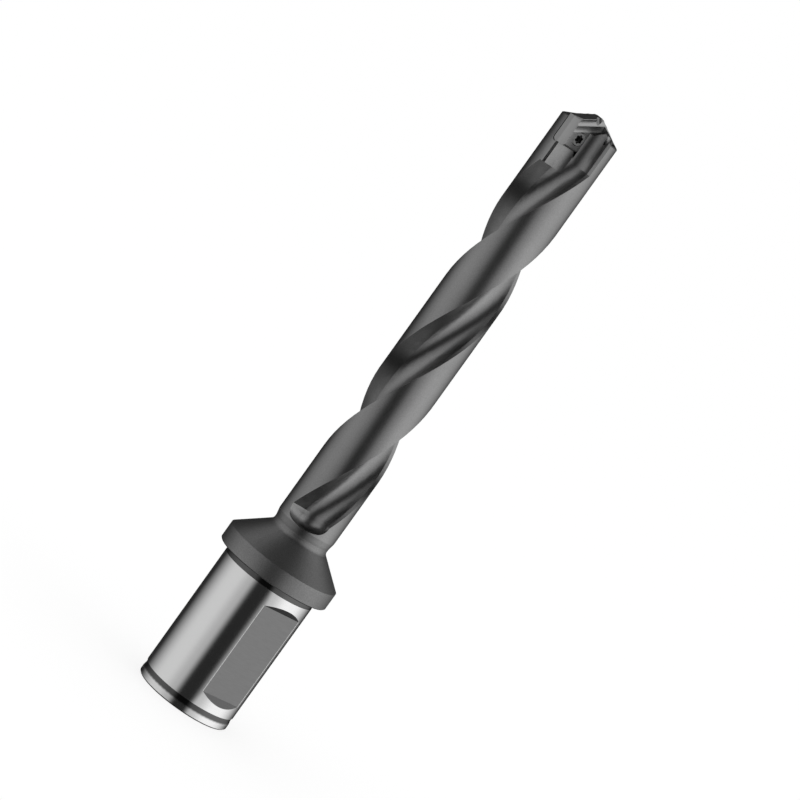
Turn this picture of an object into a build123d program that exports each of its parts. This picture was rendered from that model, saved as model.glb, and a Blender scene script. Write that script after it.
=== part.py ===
from build123d import *
import os
from math import asin, atan2, cos, radians, sin, sqrt, tan

# An indexable spade drill: a one-piece holder, a blade insert and its two clamp screws.
# Z runs up the drill axis from the shank end to the point. X runs along the width of the blade insert,
# and Y is square to its broad faces. The drill cuts turning from X towards Y.

# Overall sizes in millimetres, angles in degrees
overall_length = 218.7
shank_diameter = 32.0
flange_diameter = 38.8
cutting_diameter = 20.8
body_clearance = 0.3
point_angle = 140.0

# Shank
shank_length = 48.3
end_chamfer = 0.4
end_collar_height = 1.8
groove_taper_height = 1.3
groove_width = 1.1
groove_depth = 0.25
grinding_relief_height = 2.2
grinding_relief_depth = 0.2
flat_from_axis = 14.0
flat_from_end = 9.0
flat_length = 32.3
flat_turn = 76.3

# Flange and neck
flange_rim_height = 5.8
flange_edge_chamfer = 0.3
flange_cone_slope = 50.0
neck_blend_radius = 1.6
neck_relief = 0.45
neck_height = 1.5
neck_taper_height = 2.4

# Flutes, seen along the axis with the middle of a flute at the top
flute_pitch = 127.0
neck_to_flute = 2.3
flute_start_length = 4.6
flute_start_half_width = 8.2
flute_start_radius = 3.0
head_length = 16.0
head_flute_turn = 42.0
web_diameter = 7.0
flute_radius = 5.8
flute_shift = 1.0
rake_edge_turn = 40.0
head_rake_edge_turn = 45.0
heel_edge_turn = 44.0
heel_facet_width = 0.9
support_rib_drop = 20.4
support_rib_edge_turn = 47.0
support_rib_wall_turn = 35.0

# Head, with heights measured down from the point
insert_height = 13.0
insert_thickness = 5.0
pocket_clearance = 0.02
seat_corner_radius = 0.8
slot_edge_step = 0.4
ear_drop = 4.9
ear_top_slope = 26.0
ear_edge_chamfer = 0.35
gash_drop = 5.7
gash_slope = 44.0
gash_turn = 40.0
gash_inner_edge = 1.5
gash_corner_radius = 1.0
corner_relief_width = 0.75
corner_relief_depth = 1.9
corner_relief_middle = 2.9
corner_relief_length = 4.6

# Coolant holes
coolant_inlet_diameter = 8.8
coolant_inlet_depth = 14.0
coolant_inlet_chamfer = 0.8
coolant_bore_diameter = 3.0
coolant_branch_drop = 30.0
coolant_branch_diameter = 2.0
coolant_knee_drop = 12.0
coolant_knee_inset = 1.9
coolant_knee_turn = 98.5
coolant_outlet_inset = 2.1
coolant_outlet_turn = 96.0
coolant_outlet_diameter = 3.2
coolant_outlet_depth = 1.1

# Blade insert
lip_clearance_angle = 8.0
corner_bevel = 0.9
margin_width = 2.9
side_clearance_angle = 14.0
insert_corner_radius = 0.9
lip_land = 0.15
chip_former_width = 2.2
chip_former_depth = 0.32
chip_curler_width = 2.1
chip_curler_depth = 0.2
thinning_radius = 1.5
thinning_slope = 50.0
thinning_offset = 1.9

# Clamp screws
screw_x = 5.5
screw_drop = 9.0
screw_lean = 17.0
screw_recess = 0.05
screw_head_diameter = 4.1
screw_head_rim = 0.3
screw_cone_angle = 60.0
screw_thread_diameter = 3.0
screw_length = 8.0
screw_tip_chamfer = 0.4
screw_fit_clearance = 0.02
screw_hole_clearance = 0.15
head_clearance = 0.35
driver_clearance = 1.8
tapped_hole_extra_depth = 0.8
socket_across_points = 3.0
socket_across_valleys = 2.4
socket_lobe_radius = 0.4
socket_depth = 0.95
socket_lobes = 6
pilot_diameter = 2.0
pilot_depth = 2.1

# How far a cut runs on past the metal
overcut = 3.0

# Sizes worked out from the ones above
shank_radius = shank_diameter / 2
flange_radius = flange_diameter / 2
cutting_radius = cutting_diameter / 2
body_radius = cutting_radius - body_clearance
neck_radius = body_radius - neck_relief
web_radius = web_diameter / 2
half_thickness = insert_thickness / 2
point_slope = 90 - point_angle / 2
beyond_body = body_radius + overcut
above_point = overall_length + overcut

# Heights worked out from the ones above
rim_top = shank_length + flange_rim_height
neck_bottom = rim_top + (flange_radius - neck_radius) / tan(radians(flange_cone_slope))
taper_bottom = neck_bottom + neck_height
flute_start = taper_bottom + neck_to_flute
helix_start = flute_start + flute_start_length
helix_end = overall_length - head_length
support_rib_bottom = overall_length - support_rib_drop
seat_height = overall_length - insert_height
ear_height = overall_length - ear_drop


def at_angle(radius, turn, height=0.0):
    """A point at a radius and an angle about the drill axis."""
    return Vector(radius * cos(radians(turn)), radius * sin(radians(turn)), height)


def both_sides(shape):
    """A shape and its copy half a turn round the drill axis."""
    return [shape, Rot(0, 0, 180) * shape]


def rod(start, end, diameter):
    """A round bar from one point to another."""
    along = end - start
    return Solid.make_cylinder(diameter / 2, along.length, Plane(origin=start, z_dir=along))


def turned_blank():
    """The holder before it is milled, turned about the drill axis."""
    groove_bottom = end_collar_height + groove_taper_height
    groove_top = groove_bottom + groove_width
    relief_bottom = shank_length - grinding_relief_height
    ear_peak = ear_height + body_radius * tan(radians(ear_top_slope))
    outline = Polyline(
        (0, 0),
        (shank_radius - end_chamfer, 0),
        (shank_radius, end_chamfer),
        (shank_radius, end_collar_height),
        (shank_radius - groove_depth, groove_bottom),
        (shank_radius - groove_depth, groove_top),
        (shank_radius, groove_top),
        (shank_radius, relief_bottom),
        (shank_radius - grinding_relief_depth, relief_bottom),
        (shank_radius - grinding_relief_depth, shank_length),
        (flange_radius - flange_edge_chamfer, shank_length),
        (flange_radius, shank_length + flange_edge_chamfer),
        (flange_radius, rim_top),
        (neck_radius, neck_bottom),
        (neck_radius, taper_bottom),
        (body_radius, taper_bottom + neck_taper_height),
        (body_radius, ear_height - ear_edge_chamfer),
        (body_radius - ear_edge_chamfer, ear_height),
        (0, ear_peak),
        close=True,
    )
    profile = make_face(outline)
    blend = profile.vertices().sort_by_distance((neck_radius, neck_bottom))[0]
    profile = fillet(blend, neck_blend_radius)
    return revolve(Plane.XZ * profile, Axis.Z)


def flute_centre():
    """The centre of a flute's round floor, with the middle of the flute towards Y."""
    centre_radius = web_radius + flute_radius
    return Vector(-flute_shift, sqrt(centre_radius**2 - flute_shift**2))


def rake_wall(edge_turn):
    """The outer edge of a flute's flat rake wall, and the wall's direction towards the round floor."""
    edge = at_angle(body_radius, 90 - edge_turn)
    to_centre = flute_centre() - edge
    angle = atan2(to_centre.Y, to_centre.X) + asin(flute_radius / to_centre.length)
    return edge, Vector(cos(angle), sin(angle))


def flute_profile(edge_turn):
    """One flute in section, open past the body: its middle towards Y and its rake wall towards X."""
    centre = flute_centre()
    rake_edge, wall = rake_wall(edge_turn)
    wall_length = sqrt((centre - rake_edge).length ** 2 - flute_radius**2)
    wall_foot = rake_edge + wall * wall_length
    wall_top = rake_edge - wall * (beyond_body - body_radius)
    bottom = centre - Vector(0, flute_radius)
    heel_edge = at_angle(body_radius, 90 + heel_edge_turn)
    heel_x = heel_edge.X + heel_facet_width
    heel_foot = Vector(heel_x, centre.Y - sqrt(flute_radius**2 - (heel_x - centre.X) ** 2))
    facet = (heel_edge - heel_foot).normalized()
    heel_top = heel_edge + facet * (beyond_body - body_radius)
    cap = Vector(0, 2 * beyond_body)
    edges = [
        Line(wall_top, wall_foot),
        ThreePointArc(wall_foot, bottom, heel_foot),
        Line(heel_foot, heel_top),
        Line(heel_top, cap),
        Line(cap, wall_top),
    ]
    return make_face(edges)


def flute_turn(height):
    """The angle of a flute's middle from X at a height on the helix."""
    return head_flute_turn - 360 * (helix_end - height) / flute_pitch


def flute_section(height, turn, edge_turn=rake_edge_turn):
    """The flute profile at a height, with its middle at an angle from X."""
    return (Pos(0, 0, height) * Rot(0, 0, turn - 90) * flute_profile(edge_turn)).face()


def straight_flute(bottom, top, turn, edge_turn=rake_edge_turn):
    """A length of flute that runs along the drill axis."""
    return extrude(flute_section(bottom, turn, edge_turn), top - bottom, dir=(0, 0, 1))


def helical_flute(bottom, top):
    """A length of flute that winds round the drill axis."""
    section = flute_section(bottom, flute_turn(bottom))
    winding = flute_turn(top) - flute_turn(bottom)
    return Solid.extrude_linear_with_rotation(section, (0, 0, bottom), (0, 0, top - bottom), winding)


def flute_start_cutter():
    """The round-ended start of a flute beside the neck."""
    turn = flute_turn(helix_start)
    facing = Plane(origin=(0, 0, helix_start), x_dir=at_angle(1, turn - 90), z_dir=at_angle(1, turn))
    end = Ellipse(flute_start_half_width, flute_start_length)
    bound = extrude((facing * end).face(), beyond_body, dir=facing.z_dir)
    block = straight_flute(flute_start, helix_start, turn) & bound
    end_face = block.faces().filter_by(GeomType.EXTRUSION)[0]
    axis = Edge.make_line((0, 0, 0), (0, 0, overall_length))
    inner_edges = [edge for edge in end_face.edges() if edge.distance_to(axis) < body_radius]
    return fillet(inner_edges, flute_start_radius)


def support_rib():
    """The metal left standing beside the land below the insert, up to its own steep wall."""
    edge = at_angle(body_radius, 90 - support_rib_edge_turn)
    wall = at_angle(1, 90 - support_rib_wall_turn)
    reach = 4 * body_radius
    block = Box(2 * reach, reach, 2 * support_rib_drop, align=(Align.CENTER, Align.MAX, Align.MIN))
    placed = Plane(origin=edge, x_dir=wall, z_dir=(0, 0, 1)) * block
    return Pos(0, 0, support_rib_bottom) * Rot(0, 0, head_flute_turn - 90) * placed


def flute_cutters():
    """The tools' path for one flute, from its round start to the open end of the head."""
    rib = support_rib()
    return [
        flute_start_cutter(),
        helical_flute(helix_start, support_rib_bottom),
        helical_flute(support_rib_bottom, helix_end) - rib,
        straight_flute(support_rib_bottom, seat_height, flute_turn(support_rib_bottom)) - rib,
        straight_flute(helix_end, above_point, head_flute_turn, head_rake_edge_turn),
    ]


def side_lock_flat():
    """The wedge of metal milled off the shank for the side-lock screw, with 45 degree ends."""
    run_out = 2 * (shank_radius - flat_from_axis)
    flat_top = flat_from_end + flat_length
    outline = Polyline(
        (flat_from_axis, flat_from_end),
        (flat_from_axis + run_out, flat_from_end - run_out),
        (flat_from_axis + run_out, flat_top + run_out),
        (flat_from_axis, flat_top),
        close=True,
    )
    block = extrude(Plane.XZ * make_face(outline), shank_radius, both=True)
    return Rot(0, 0, flat_turn) * block


def insert_slot(allowance=0.0):
    """The slot across the head, round in its lower corners, and as much bigger as the allowance."""
    width = insert_thickness + 2 * (pocket_clearance + allowance)
    floor = seat_height - allowance
    height = above_point - floor
    block = Pos(0, 0, floor + height / 2) * Box(2 * beyond_body, width, height)
    corners = block.edges().filter_by(Axis.X).group_by(Axis.Z)[0]
    return fillet(corners, seat_corner_radius + allowance)


def slot_step():
    """The small step round the slot where it opens in the side of the body."""
    core = Solid.make_cylinder(body_radius - slot_edge_step, above_point)
    return insert_slot(slot_edge_step) - core


def corner_relief():
    """The small undercut where the slot floor meets the web."""
    wall = half_thickness + pocket_clearance
    outline = Polyline(
        (wall, seat_height),
        (wall, seat_height - corner_relief_depth),
        (wall - corner_relief_width, seat_height),
        (wall - corner_relief_width, seat_height + seat_corner_radius),
        (wall, seat_height + seat_corner_radius),
        close=True,
    )
    block = extrude(Plane.YZ * make_face(outline), corner_relief_length / 2, both=True)
    return Pos(corner_relief_middle, 0, 0) * block


def chip_gash():
    """The ramp milled into an ear beside the web, so that chips leave the middle of the point."""
    floor = overall_length - gash_drop
    rise = above_point - floor
    outline = Polyline(
        (0, floor),
        (gash_inner_edge, floor),
        (gash_inner_edge + rise / tan(radians(gash_slope)), above_point),
        (0, above_point),
        close=True,
    )
    profile = make_face(outline)
    corner = profile.vertices().sort_by_distance((gash_inner_edge, floor))[0]
    profile = fillet(corner, gash_corner_radius)
    along = at_angle(1, gash_turn)
    across = at_angle(1, gash_turn + 90)
    placed = Plane(origin=(0, 0, 0), x_dir=across, z_dir=along) * profile
    return extrude(placed.face(), beyond_body, dir=along)


def coolant_bore():
    """The inlet in the shank end and the bore up the middle of the web."""
    inlet_radius = coolant_inlet_diameter / 2
    bore_length = overall_length - coolant_branch_drop
    inlet = Solid.make_cylinder(inlet_radius, coolant_inlet_depth)
    bore = Solid.make_cylinder(coolant_bore_diameter / 2, bore_length)
    mouth = Solid.make_cone(inlet_radius + coolant_inlet_chamfer, inlet_radius, coolant_inlet_chamfer)
    return [inlet, bore, mouth]


def coolant_branch():
    """One branch from the bore, through a knee in the ear, to its wide outlet at the ear's top edge."""
    bore_end = Vector(0, 0, overall_length - coolant_branch_drop)
    knee_height = overall_length - coolant_knee_drop
    knee = at_angle(body_radius - coolant_knee_inset, coolant_knee_turn, knee_height)
    rim = at_angle(body_radius - coolant_outlet_inset, coolant_outlet_turn, ear_height)
    upward = (rim - knee).normalized()
    return [
        rod(bore_end, knee, coolant_branch_diameter),
        Pos(knee) * Sphere(coolant_branch_diameter / 2),
        rod(knee, rim, coolant_branch_diameter),
        rod(rim - upward * coolant_outlet_depth, rim + upward * body_radius, coolant_outlet_diameter),
    ]


def screw_frame():
    """The middle of the front screw's head, with Z out of the head along its axis."""
    face_y = half_thickness - screw_recess
    outward = at_angle(1, 90 - screw_lean)
    return Plane(origin=(screw_x, face_y, overall_length - screw_drop), x_dir=(0, 0, 1), z_dir=outward)


def screw_cone_depth():
    """How far below the rim the head's cone narrows to the thread."""
    return (screw_head_diameter - screw_thread_diameter) / 2 / tan(radians(screw_cone_angle / 2))


def screw_socket():
    """The six-lobe recess in a screw head, and the pilot hole that it was punched over."""
    profile = Circle(socket_across_valleys / 2)
    lobe_centre = socket_across_points / 2 - socket_lobe_radius
    for i in range(socket_lobes):
        lobe = Pos(lobe_centre, 0) * Circle(socket_lobe_radius)
        profile = profile + Rot(0, 0, 360 * i / socket_lobes) * lobe
    pilot = Pos(0, 0, -pilot_depth) * Solid.make_cylinder(pilot_diameter / 2, pilot_depth)
    return extrude(profile, -socket_depth) + pilot


def clamp_screw():
    """A countersunk clamp screw, with the middle of its head at the origin and its tip towards -Z."""
    head_radius = screw_head_diameter / 2
    thread_radius = screw_thread_diameter / 2
    outline = Polyline(
        (0, 0),
        (head_radius, 0),
        (head_radius, -screw_head_rim),
        (thread_radius, -screw_head_rim - screw_cone_depth()),
        (thread_radius, -screw_length + screw_tip_chamfer),
        (thread_radius - screw_tip_chamfer, -screw_length),
        (0, -screw_length),
        close=True,
    )
    body = revolve(Plane.XZ * make_face(outline), Axis.Z)
    return body - screw_socket()


def insert_screw_hole():
    """The countersunk clearance hole through the insert, in the screw's own frame."""
    mouth_radius = screw_head_diameter / 2 + head_clearance
    hole_radius = screw_thread_diameter / 2 + screw_hole_clearance
    slope = tan(radians(screw_cone_angle / 2))
    cone_gap = screw_fit_clearance / sin(radians(screw_cone_angle / 2))
    mouth_depth = screw_head_rim + cone_gap - head_clearance / slope
    hole_depth = mouth_depth + (mouth_radius - hole_radius) / slope
    outline = Polyline(
        (0, insert_thickness),
        (mouth_radius, insert_thickness),
        (mouth_radius, -mouth_depth),
        (hole_radius, -hole_depth),
        (hole_radius, -2 * insert_thickness),
        (0, -2 * insert_thickness),
        close=True,
    )
    return revolve(Plane.XZ * make_face(outline), Axis.Z)


def holder_screw_holes():
    """The tapped hole in an ear and the driver's way in past the web, in the screw's own frame."""
    tapped_radius = screw_thread_diameter / 2 + screw_fit_clearance
    tapped_depth = screw_length + tapped_hole_extra_depth
    access_radius = screw_head_diameter / 2 + driver_clearance
    tapped = Pos(0, 0, -tapped_depth) * Solid.make_cylinder(tapped_radius, tapped_depth)
    access = Solid.make_cylinder(access_radius, beyond_body)
    return [tapped, access]


def holder_body():
    """The one-piece holder: shank, flange, fluted body and head."""
    cuts = [insert_slot(), slot_step(), side_lock_flat()]
    cuts += coolant_bore()
    one_side = flute_cutters() + coolant_branch()
    one_side += [corner_relief(), chip_gash()]
    one_side += [screw_frame() * hole for hole in holder_screw_holes()]
    for cutter in one_side:
        cuts += both_sides(cutter)
    body = turned_blank()
    for cutter in cuts:
        body = body - cutter
    return body


def lip_height(x):
    """The height of the cutting lip at a distance along the insert."""
    peak = overall_length + half_thickness * tan(radians(lip_clearance_angle))
    return peak - x * tan(radians(point_slope))


def point_flank():
    """The plane of one wing's flank, which falls away behind its lip."""
    normal = (tan(radians(point_slope)), -tan(radians(lip_clearance_angle)), 1)
    return Plane(origin=(0, half_thickness, lip_height(0)), z_dir=normal)


def corner_bevel_plane():
    """The bevel on a wing's outer corner."""
    x = cutting_radius - corner_bevel
    return Plane(origin=(x, half_thickness, lip_height(x)), z_dir=(1, 0, 1))


def side_relief_plane():
    """The relief behind a wing's margin."""
    margin_end = half_thickness - margin_width
    x = sqrt(cutting_radius**2 - margin_end**2)
    return Plane(origin=(x, margin_end, seat_height), z_dir=at_angle(1, -side_clearance_angle))


def trough(from_lip, width, depth):
    """A shallow round trough in the front face, along the lip and at a distance from it."""
    half_width = width / 2
    radius = (half_width**2 + depth**2) / (2 * depth)
    along = Vector(cos(radians(point_slope)), 0, -sin(radians(point_slope)))
    below = Vector(-sin(radians(point_slope)), 0, -cos(radians(point_slope)))
    lip = Vector(0, half_thickness, lip_height(0))
    middle = lip + below * (from_lip + half_width) + Vector(0, radius - depth, 0)
    reach = along * (2 * cutting_radius)
    return rod(middle - reach, middle + reach, 2 * radius)


def chip_former():
    """The two troughs along a lip that curl and break the chip."""
    return [
        trough(lip_land, chip_former_width, chip_former_depth),
        trough(lip_land + chip_former_width, chip_curler_width, chip_curler_depth),
    ]


def web_thinning():
    """The notch beside the chisel edge that carries a lip in towards the middle."""
    fall = Vector(0, cos(radians(thinning_slope)), -sin(radians(thinning_slope)))
    middle = Vector(thinning_offset, half_thickness, lip_height(thinning_offset))
    return rod(middle - fall * insert_thickness, middle + fall * insert_thickness, 2 * thinning_radius)


def trimmed_wing(plate):
    """The plate with the wing on its X side ground to shape."""
    for plane in (point_flank(), corner_bevel_plane(), side_relief_plane()):
        plate = split(plate, plane, keep=Keep.BOTTOM)
    for cutter in chip_former() + [web_thinning(), screw_frame() * insert_screw_hole()]:
        plate = plate - cutter
    return plate


def drill_insert():
    """The blade insert."""
    height = above_point - seat_height
    plate = Pos(0, 0, seat_height + height / 2) * Box(2 * cutting_radius, insert_thickness, height)
    lower_edges = plate.edges().filter_by(Axis.X).group_by(Axis.Z)[0]
    plate = fillet(lower_edges, insert_corner_radius)
    plate = plate & (Pos(0, 0, seat_height) * Solid.make_cylinder(cutting_radius, height))
    turned_plate = Rot(0, 0, 180) * trimmed_wing(plate)
    return Rot(0, 0, 180) * trimmed_wing(turned_plate)


def sub_parts():
    """Every sub-part in its place, by node name."""
    front_screw = screw_frame() * clamp_screw()
    return {
        "holder_body": holder_body(),
        "drill_insert": drill_insert(),
        "clamp_screw_front": front_screw,
        "clamp_screw_rear": Rot(0, 0, 180) * front_screw,
    }


os.makedirs("parts", exist_ok=True)
for node, shape in sub_parts().items():
    export_step(shape, f"parts/{node}.step")
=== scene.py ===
from math import atan2, cos, degrees, pi, radians, sin

import bpy
from mathutils import Matrix, Vector

# The looks of an indexable spade drill: its finishes, a pale floor, studio light and a camera.
# Lengths are in metres. Angles round the drill are in degrees, from X towards Y.

MM = 0.001

# Places on the holder where one finish ends and the next begins
shank_top = 48.3 * MM
groove_top = 4.2 * MM
relief_bottom = 46.1 * MM
shank_radius = 16.0 * MM
flange_top = 63.8 * MM

# How far a finish takes to change: at an edge, along the coated neck and down the groove's taper, where
# the colour darkens with depth as painted shade
finish_edge = 0.03 * MM
coating_blend = 1.0 * MM
groove_shade_depth = 0.18 * MM

# The sockets of a mix node: its two inputs and its output, for colours and for values
mix_sockets = {"RGBA": (6, 7, 2), "FLOAT": (2, 3, 0)}

# Camera, with its pitch and roll in radians and its focal length in pixels of the picture
camera_turn = 124.5
camera_side = 0.777 * MM
camera_distance = 1087.78 * MM
camera_height = 240.96 * MM
camera_pitch = 0.1161
camera_roll = 0.6217
picture_size = 800
focal_pixels = 3613.6
sensor_width = 36.0


def node(tree, kind, inputs=None, **settings):
    """Adds a node, sets it, and gives each named input a value or a link."""
    made = tree.nodes.new(kind)
    for name, value in settings.items():
        setattr(made, name, value)
    for name, value in (inputs or {}).items():
        socket = made.inputs[name]
        if isinstance(value, bpy.types.NodeSocket):
            tree.links.new(value, socket)
        else:
            socket.default_value = value
    return made


def empty_tree(owner):
    """The node tree of a new material or world, with nothing in it."""
    owner.use_nodes = True
    owner.node_tree.nodes.clear()
    return owner.node_tree


def maths(tree, operation, first, second):
    """The result of one operation on two numbers or links."""
    terms = {0: first, 1: second}
    return node(tree, "ShaderNodeMath", terms, operation=operation).outputs[0]


def ramp_between(tree, value, start, end):
    """0 where value is under start, 1 over end, and smooth between."""
    terms = {"Value": value, "From Min": start, "From Max": end}
    return node(tree, "ShaderNodeMapRange", terms, interpolation_type="SMOOTHSTEP").outputs[0]


def either(tree, first, second):
    """The larger of two values."""
    return maths(tree, "MAXIMUM", first, second)


def blend(tree, share, first, second, kind):
    """first where share is 0 and second where it is 1."""
    first_input, second_input, output = mix_sockets[kind]
    terms = {"Factor": share, first_input: first, second_input: second}
    return node(tree, "ShaderNodeMix", terms, data_type=kind).outputs[output]


def blend_colours(tree, share, first, second):
    """The first colour where share is 0 and the second where it is 1."""
    return blend(tree, share, first, second, "RGBA")


def blend_values(tree, share, first, second):
    """The first value where share is 0 and the second where it is 1."""
    return blend(tree, share, first, second, "FLOAT")


def grey(level):
    """A grey colour, from 0 for black to 1 for white."""
    return (level, level, level, 1.0)


def noise(tree, place, scale=1.0, detail=2.0, roughness=0.5):
    """A cloudy pattern from 0 to 1."""
    terms = {"Vector": place, "Scale": scale, "Detail": detail, "Roughness": roughness}
    return node(tree, "ShaderNodeTexNoise", terms).outputs["Fac"]


def stretched(tree, place, scale):
    """place with its three axes scaled one by one."""
    terms = {0: place, 1: scale}
    return node(tree, "ShaderNodeVectorMath", terms, operation="MULTIPLY").outputs[0]


def new_material(name):
    """An empty metal: its node tree, its shader and the place of a point on the drill."""
    material = bpy.data.materials.new(name)
    tree = empty_tree(material)
    shader = node(tree, "ShaderNodeBsdfPrincipled", {"Metallic": 1.0})
    node(tree, "ShaderNodeOutputMaterial", {"Surface": shader.outputs[0]})
    place = node(tree, "ShaderNodeTexCoord").outputs["Object"]
    return material, tree, shader, place


def connect(tree, shader, colour, roughness, height, relief):
    """Gives the shader its colour and roughness, and a bump whose height of 1 stands for the relief."""
    bump = node(tree, "ShaderNodeBump", {"Height": height, "Distance": relief})
    tree.links.new(colour, shader.inputs["Base Color"])
    tree.links.new(roughness, shader.inputs["Roughness"])
    tree.links.new(bump.outputs[0], shader.inputs["Normal"])


def varied(tree, level, pattern, share):
    """A grey whose level goes up and down by a share as the pattern goes from 0 to 1."""
    low, high = grey(level * (1 - share)), grey(level * (1 + share))
    return blend_colours(tree, pattern, low, high)


# Levels of the finishes, from 0 for black to 1 for white
ground_level = 0.61
milled_level = 0.165
# The grooves' level: their own unground turned finish, made darker still by painted shade at the groove
# bottom
sunk_and_shaded_level = 0.085
flange_level = 0.185
body_level = 0.212
carbide_level = 0.29
screw_level = 0.11

# How far each level goes up and down, as a share of it
ground_variation = 0.06
milled_variation = 0.10
sunk_and_shaded_variation = 0.10
flange_variation = 0.60
body_variation = 0.40
carbide_variation = 0.10
screw_variation = 0.12

# Roughness of the finishes
ground_roughness = 0.13
milled_roughness = 0.42
flange_roughness = 0.42
body_roughness = 0.34
body_roughness_spread = 0.03
carbide_roughness = (0.34, 0.42)
screw_roughness = (0.30, 0.40)

# How fine the patterns are, by their waves in a metre, along each axis where there are three
grain_scale = 2600.0
cloud_scale = 55.0
turned_ring_scale = (60.0, 60.0, 9000.0)
milled_stroke_scale = (300.0, 300.0, 3500.0)
carbide_stroke_scale = (7000.0, 7000.0, 500.0)
carbide_cloud_scale = 180.0
screw_grain_scale = 4000.0

# The cloud's share of the coating's speckle, and how deep the finishes are
cloud_share = 0.4
holder_relief = 0.002 * MM
carbide_relief = 0.001 * MM
screw_relief = 0.001 * MM


def holder_finish():
    """Dark satin coating above the shank, and a ground shank with a milled flat and turned grooves
    whose colour is darkened with painted shade towards their bottom.
    """
    material, tree, shader, place = new_material("holder_finish")
    height = node(tree, "ShaderNodeSeparateXYZ", {0: place}).outputs["Z"]
    across = stretched(tree, place, (1.0, 1.0, 0.0))
    radius = node(tree, "ShaderNodeVectorMath", {0: across}, operation="LENGTH").outputs["Value"]

    coated = ramp_between(tree, height, shank_top - finish_edge, shank_top + finish_edge)
    body = ramp_between(tree, height, flange_top, flange_top + coating_blend)
    surface = shank_radius - finish_edge
    below_surface = ramp_between(tree, radius, surface, surface - finish_edge)
    above_groove = ramp_between(tree, height, groove_top, groove_top + finish_edge)
    under_relief = ramp_between(tree, height, relief_bottom, relief_bottom - finish_edge)
    between = maths(tree, "MULTIPLY", above_groove, under_relief)
    flat = maths(tree, "MULTIPLY", below_surface, between)
    # Down each groove's taper the colour darkens with depth: partly the groove's own turned finish,
    # partly painted shade towards its bottom
    groove_finish_and_shade = ramp_between(tree, radius, surface, shank_radius - groove_shade_depth)
    sunk_and_shaded_share = maths(tree, "MULTIPLY", groove_finish_and_shade, maths(tree, "SUBTRACT", 1.0, between))

    grain = noise(tree, place, grain_scale, detail=3.0, roughness=0.6)
    cloud = noise(tree, place, cloud_scale, detail=3.0)
    rings = noise(tree, stretched(tree, place, turned_ring_scale), detail=3.0, roughness=0.6)
    strokes = noise(tree, stretched(tree, place, milled_stroke_scale))

    ground = varied(tree, ground_level, rings, ground_variation)
    milled = varied(tree, milled_level, strokes, milled_variation)
    # The grooves' colour: their turned finish with painted shade added
    sunk_and_shaded = varied(tree, sunk_and_shaded_level, rings, sunk_and_shaded_variation)
    speckle = blend_values(tree, cloud_share, grain, cloud)
    flange_coat = varied(tree, flange_level, speckle, flange_variation)
    body_coat = varied(tree, body_level, speckle, body_variation)
    coating = blend_colours(tree, body, flange_coat, body_coat)
    bare = blend_colours(tree, flat, ground, milled)
    bare = blend_colours(tree, sunk_and_shaded_share, bare, sunk_and_shaded)
    colour = blend_colours(tree, coated, bare, coating)

    bare_roughness = blend_values(tree, flat, ground_roughness, milled_roughness)
    smoothest = body_roughness - body_roughness_spread
    roughest = body_roughness + body_roughness_spread
    smooth = blend_values(tree, cloud, smoothest, roughest)
    coat_roughness = blend_values(tree, body, flange_roughness, smooth)
    roughness = blend_values(tree, coated, bare_roughness, coat_roughness)

    bare_height = blend_values(tree, flat, rings, strokes)
    relief = blend_values(tree, coated, bare_height, grain)
    connect(tree, shader, colour, roughness, relief, holder_relief)
    return material


def carbide_finish():
    """Ground and coated carbide."""
    material, tree, shader, place = new_material("carbide_finish")
    strokes = noise(tree, stretched(tree, place, carbide_stroke_scale))
    cloud = noise(tree, place, carbide_cloud_scale)
    colour = varied(tree, carbide_level, strokes, carbide_variation)
    roughness = blend_values(tree, cloud, *carbide_roughness)
    connect(tree, shader, colour, roughness, strokes, carbide_relief)
    return material


def screw_finish():
    """Blackened screw steel."""
    material, tree, shader, place = new_material("screw_finish")
    grain = noise(tree, place, screw_grain_scale)
    colour = varied(tree, screw_level, grain, screw_variation)
    roughness = blend_values(tree, grain, *screw_roughness)
    connect(tree, shader, colour, roughness, grain, screw_relief)
    return material


# Light tent. Its edges are heights, and its gap a distance to the side, on a sphere of radius 1
middle_height = 109.0 * MM
tent_radius = 3.0
tent_rings = 90
tent_steps = 120
tent_base = 0.03
roof_gap = 0.40
roof_blend = 0.12
roof_glow = 0.8
under_edge = -0.65
wall_edge = -0.30
roof_edge = 0.5
roof_full = 0.8
under_share = 0.25

# The glow of each side of the tent, at angles from the camera: it starts, reaches a share of its full
# glow at the knee, is full further round, and fades from one angle to another
left_wall = {
    "start": 12.0,
    "knee": 30.0,
    "share": 0.70,
    "full": 58.0,
    "fade": 75.0,
    "end": 145.0,
    "glow": 0.90,
}
right_wall = {
    "start": 14.0,
    "knee": 30.0,
    "share": 0.55,
    "full": 70.0,
    "fade": 90.0,
    "end": 165.0,
    "glow": 1.41,
}

# Floor, background and lamps
floor_half_width = 60.0
floor_drop = 0.02 * MM
floor_level = 1.0
floor_glow_share = 0.75
ambient = 1.0
lamp_turn = 60.0
lamp_distance = 1.2
lamp_height = 0.6
lamp_size = 0.8
right_lamp_glow = 0.5
left_lamp_glow = 0.3


def background_rays(tree):
    """1 for a ray that sees the background: from the camera, a reflection or through glass."""
    seen = node(tree, "ShaderNodeLightPath").outputs
    mirrored = either(tree, seen["Is Camera Ray"], seen["Is Glossy Ray"])
    return either(tree, mirrored, seen["Is Transmission Ray"])


def white_world():
    """A white background, and an even light from it."""
    world = bpy.data.worlds.new("studio")
    bpy.context.scene.world = world
    tree = empty_tree(world)
    strength = blend_values(tree, background_rays(tree), ambient, 1.0)
    terms = {"Color": grey(1.0), "Strength": strength}
    background = node(tree, "ShaderNodeBackground", terms)
    node(tree, "ShaderNodeOutputWorld", {"Surface": background.outputs[0]})
    world.cycles.sampling_method = "NONE"


def flat_mesh(name, corners):
    """One flat face of the stage."""
    mesh = bpy.data.meshes.new(name)
    mesh.from_pydata(corners, [], [tuple(range(len(corners)))])
    made = bpy.data.objects.new(name, mesh)
    bpy.context.scene.collection.objects.link(made)
    return made


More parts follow.
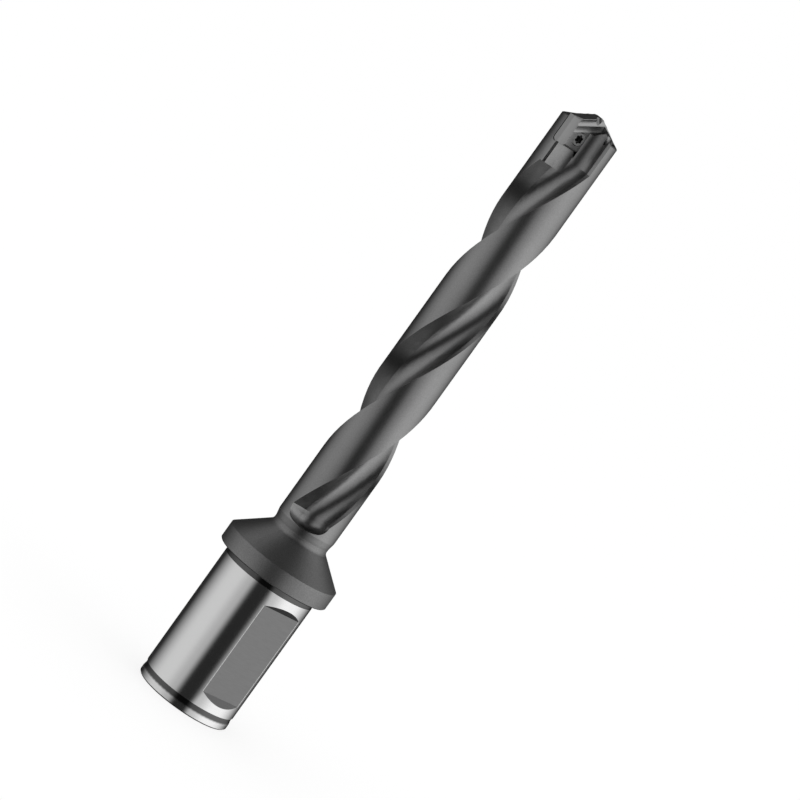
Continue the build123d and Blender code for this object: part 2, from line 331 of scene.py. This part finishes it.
def white_floor():
    """A pale floor that keeps the shadow of what stands on it."""
    half = floor_half_width
    level = -floor_drop
    corners = [(-half, -half, level), (half, -half, level), (half, half, level), (-half, half, level)]
    floor = flat_mesh("floor", corners)
    material = bpy.data.materials.new("floor_white")
    tree = empty_tree(material)
    paint = node(tree, "ShaderNodeBsdfDiffuse", {"Color": grey(floor_level)})
    glow = node(tree, "ShaderNodeEmission", {"Color": grey(1.0), "Strength": 1.0})
    share = maths(tree, "MULTIPLY", background_rays(tree), floor_glow_share)
    terms = {0: share, 1: paint.outputs[0], 2: glow.outputs[0]}
    surface = node(tree, "ShaderNodeMixShader", terms)
    node(tree, "ShaderNodeOutputMaterial", {"Surface": surface.outputs[0]})
    floor.data.materials.append(material)
    floor.visible_glossy = False


def studio_point(side, front, height):
    """A point given as the photograph's camera sees it: to its right, towards it and up."""
    stand = Matrix.Rotation(radians(camera_turn), 4, "Z")
    return stand @ Vector((side, -front, height))


def around(turn, distance, height):
    """A point round the drill, at an angle to the right of the camera."""
    return studio_point(distance * sin(radians(turn)), distance * cos(radians(turn)), height)


def smooth_step(value, start, end):
    """0 where value is under start, 1 over end, and smooth between."""
    share = min(1.0, max(0.0, (value - start) / (end - start)))
    return share * share * (3 - 2 * share)


def wall_glow(wall, turn):
    """How bright one side of the tent is at an angle from the camera."""
    near = wall["share"] * smooth_step(turn, wall["start"], wall["knee"])
    far = (1 - wall["share"]) * smooth_step(turn, wall["knee"], wall["full"])
    return wall["glow"] * (near + far) * (1 - smooth_step(turn, wall["fade"], wall["end"]))


def tent_glow(side, front, up):
    """How bright the tent is in a direction: lit at both sides, dark in front, behind and below."""
    turn = abs(degrees(atan2(side, front)))
    wall = wall_glow(right_wall if side > 0 else left_wall, turn)
    roof = roof_glow * smooth_step(abs(side), roof_gap - roof_blend, roof_gap + roof_blend)
    under = under_share * wall
    wall_share = smooth_step(up, under_edge, wall_edge)
    roof_share = smooth_step(up, roof_edge, roof_full)
    lower = wall * wall_share + under * (1 - wall_share)
    return tent_base + roof * roof_share + lower * (1 - roof_share)


def tent_shell():
    """The points of the round tent with their glows, and the faces between its rings."""
    centre = Vector((0.0, 0.0, middle_height))
    points = []
    glows = []
    for ring in range(tent_rings + 1):
        lift = pi * (ring / tent_rings - 0.5)
        for step in range(tent_steps):
            turn = 2 * pi * step / tent_steps
            towards = Vector((sin(turn) * cos(lift), cos(turn) * cos(lift), sin(lift)))
            glows.append(tent_glow(*towards))
            point = studio_point(*(tent_radius * towards)) + centre
            points.append(tuple(point))
    faces = []
    for ring in range(tent_rings):
        low, high = ring * tent_steps, (ring + 1) * tent_steps
        for step in range(tent_steps):
            after = (step + 1) % tent_steps
            faces.append((low + step, low + after, high + after, high + step))
    return points, glows, faces


def light_tent():
    """A tent round the drill that its metal reflects. The camera and the floor don't see it."""
    points, glows, faces = tent_shell()
    mesh = bpy.data.meshes.new("light_tent")
    mesh.from_pydata(points, [], faces)
    mesh.attributes.new("glow", "FLOAT", "POINT").data.foreach_set("value", glows)
    tent = bpy.data.objects.new("light_tent", mesh)
    bpy.context.scene.collection.objects.link(tent)
    material = bpy.data.materials.new("tent_cloth")
    tree = empty_tree(material)
    glow = node(tree, "ShaderNodeAttribute", attribute_name="glow").outputs["Fac"]
    cloth = node(tree, "ShaderNodeEmission", {"Color": grey(1.0), "Strength": glow})
    node(tree, "ShaderNodeOutputMaterial", {"Surface": cloth.outputs[0]})
    mesh.materials.append(material)
    tent.visible_camera = False
    tent.visible_diffuse = False
    tent.visible_shadow = False


def soft_lamp(name, turn, glow):
    """A soft box that faces the drill's middle and whose face glows that much."""
    data = bpy.data.lights.new(name, "AREA")
    data.shape = "SQUARE"
    data.size = lamp_size
    data.energy = glow * pi * lamp_size**2
    lamp = bpy.data.objects.new(name, data)
    bpy.context.scene.collection.objects.link(lamp)
    lamp.location = around(turn, lamp_distance, lamp_height)
    aim = Vector((0.0, 0.0, middle_height)) - lamp.location
    lamp.rotation_mode = "QUATERNION"
    lamp.rotation_quaternion = aim.to_track_quat("-Z", "Y")
    lamp.visible_glossy = False


def photo_camera():
    """The photograph's camera, which leans as its frame does."""
    data = bpy.data.cameras.new("camera")
    data.sensor_width = sensor_width
    data.lens = sensor_width * focal_pixels / picture_size
    camera = bpy.data.objects.new("camera", data)
    bpy.context.scene.collection.objects.link(camera)
    ahead = Vector((0.0, cos(camera_pitch), -sin(camera_pitch)))
    right = Vector((1.0, 0.0, 0.0))
    up = right.cross(ahead)
    leaned_right = cos(camera_roll) * right + sin(camera_roll) * up
    leaned_up = -sin(camera_roll) * right + cos(camera_roll) * up
    place = Vector((camera_side, -camera_distance, camera_height))
    columns = (leaned_right, leaned_up, -ahead, place)
    rows = [[column[i] for column in columns] for i in range(3)]
    stand = Matrix(rows + [[0.0, 0.0, 0.0, 1.0]])
    camera.matrix_world = Matrix.Rotation(radians(camera_turn), 4, "Z") @ stand
    bpy.context.scene.camera = camera


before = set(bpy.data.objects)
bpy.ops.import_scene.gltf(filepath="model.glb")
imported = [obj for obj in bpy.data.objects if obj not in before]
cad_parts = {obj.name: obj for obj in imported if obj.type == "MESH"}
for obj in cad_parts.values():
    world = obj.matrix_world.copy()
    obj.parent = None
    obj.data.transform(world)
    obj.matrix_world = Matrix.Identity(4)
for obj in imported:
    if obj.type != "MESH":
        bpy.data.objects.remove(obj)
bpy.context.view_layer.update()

finishes = {
    "holder_body": holder_finish(),
    "drill_insert": carbide_finish(),
    "clamp_screw_front": screw_finish(),
    "clamp_screw_rear": screw_finish(),
}
for name, finish in finishes.items():
    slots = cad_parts[name].material_slots
    for slot in slots:
        slot.material = finish

white_world()
white_floor()
light_tent()
soft_lamp("right_lamp", lamp_turn, right_lamp_glow)
soft_lamp("left_lamp", -lamp_turn, left_lamp_glow)
photo_camera()

bpy.context.scene.view_settings.view_transform = "Standard"
